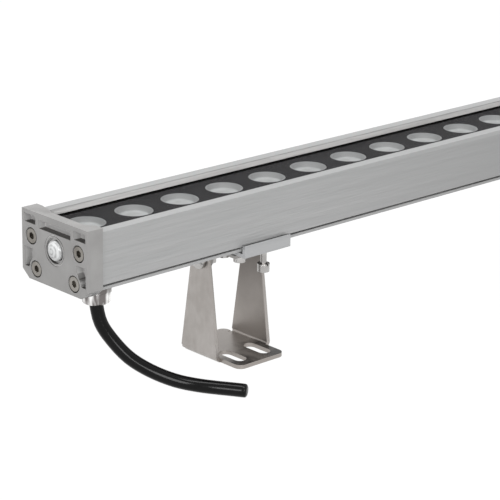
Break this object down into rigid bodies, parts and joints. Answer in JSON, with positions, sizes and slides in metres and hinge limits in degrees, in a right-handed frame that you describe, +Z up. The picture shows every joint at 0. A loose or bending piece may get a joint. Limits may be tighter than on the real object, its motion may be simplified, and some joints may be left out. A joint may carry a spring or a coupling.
{
  "type": "outdoor wall washer light",
  "caption": "Long aluminium wall washer light with a row of lenses under a clear cover, on two tilting U brackets whose clamps slide along the housing, with a cable gland and short cord.",
  "frame": {"origin": "midway between the two bracket feet, on the ground, under the middle of the light's width", "axes": "+X along the light from the cord end to the other end, -Y the front side, +Z up, the way the lenses face at rest"},
  "size_m": [0.5038, 0.0763, 0.087],
  "materials": {
    "housing_aluminium": "satin anodised, fine lines along the profile",
    "cap_aluminium": "matt grey cast",
    "seal_rubber": "matt",
    "cap_screw_steel": "satin",
    "plug_plastic": "translucent white",
    "cover_glass": "clear",
    "mask_black": "satin black",
    "lens_clear": "frosted face",
    "holder_white": "matt",
    "board_white": "solder mask",
    "emitter_yellow": "satin",
    "driver_green": "solder mask",
    "driver_black": "matt",
    "wire_red": "insulation",
    "gland_nickel": "nickel plated",
    "cord_black": "glossy jacket",
    "bracket_steel": "matt rolled stainless",
    "saddle_steel": "matt",
    "jaw_aluminium": "satin",
    "screw_steel": "satin"
  },
  "bodies": {
    "near_bracket": {"near_bracket": "bracket_steel"},
    "near_clamp": {"near_saddle": "saddle_steel", "near_front_jaw": "jaw_aluminium", "near_rear_jaw": "jaw_aluminium", "near_clamp_screws": "screw_steel", "near_spring_washers": "screw_steel", "near_lock_screws": "screw_steel", "near_pivot_screws": "screw_steel", "near_pivot_nuts": "screw_steel"},
    "light": {"housing": "housing_aluminium", "near_end_cap": "cap_aluminium", "far_end_cap": "cap_aluminium", "near_gasket": "seal_rubber", "far_gasket": "seal_rubber", "near_cap_screws": "cap_screw_steel", "far_cap_screws": "cap_screw_steel", "near_plug": "plug_plastic", "far_plug": "plug_plastic", "near_plug_seal": "seal_rubber", "far_plug_seal": "seal_rubber", "cover": "cover_glass", "cover_seals": "seal_rubber", "mask_plate": "mask_black", "lenses": "lens_clear", "lens_holders": "holder_white", "led_board": "board_white", "led_emitters": "emitter_yellow", "board_screws": "cap_screw_steel", "driver_board": "driver_green", "driver_parts": "driver_black", "lead_wires": "wire_red", "gland_body": "gland_nickel", "gland_seal": "seal_rubber", "gland_nut": "gland_nickel", "gland_locknut": "gland_nickel", "supply_cord": "cord_black"},
    "far_clamp": {"far_saddle": "saddle_steel", "far_front_jaw": "jaw_aluminium", "far_rear_jaw": "jaw_aluminium", "far_clamp_screws": "screw_steel", "far_spring_washers": "screw_steel", "far_lock_screws": "screw_steel", "far_pivot_screws": "screw_steel", "far_pivot_nuts": "screw_steel"},
    "far_bracket": {"far_bracket": "bracket_steel"}
  },
  "joints": [
    {"name": "light_tilt", "type": "hinge", "parent": "near_bracket", "child": "near_clamp", "pos_m": [-0.145, 0.003, 0.049], "axis": [1, 0, 0], "range_deg": [-80, 80]},
    {"name": "near_clamp_slide", "type": "slide", "parent": "near_clamp", "child": "light", "axis": [1, 0, 0], "range_m": [-0.1, 0.01]},
    {"name": "far_clamp_slide", "type": "slide", "parent": "light", "child": "far_clamp", "axis": [1, 0, 0], "range_m": [-0.1, 0.07]},
    {"name": "far_bracket_tilt", "type": "hinge", "parent": "far_clamp", "child": "far_bracket", "pos_m": [0.145, 0.003, 0.049], "axis": [1, 0, 0], "range_deg": [-80, 80]}
  ],
  "couplings": [
    {"joint": "far_bracket_tilt", "follows": "light_tilt", "ratio": -1}
  ]
}
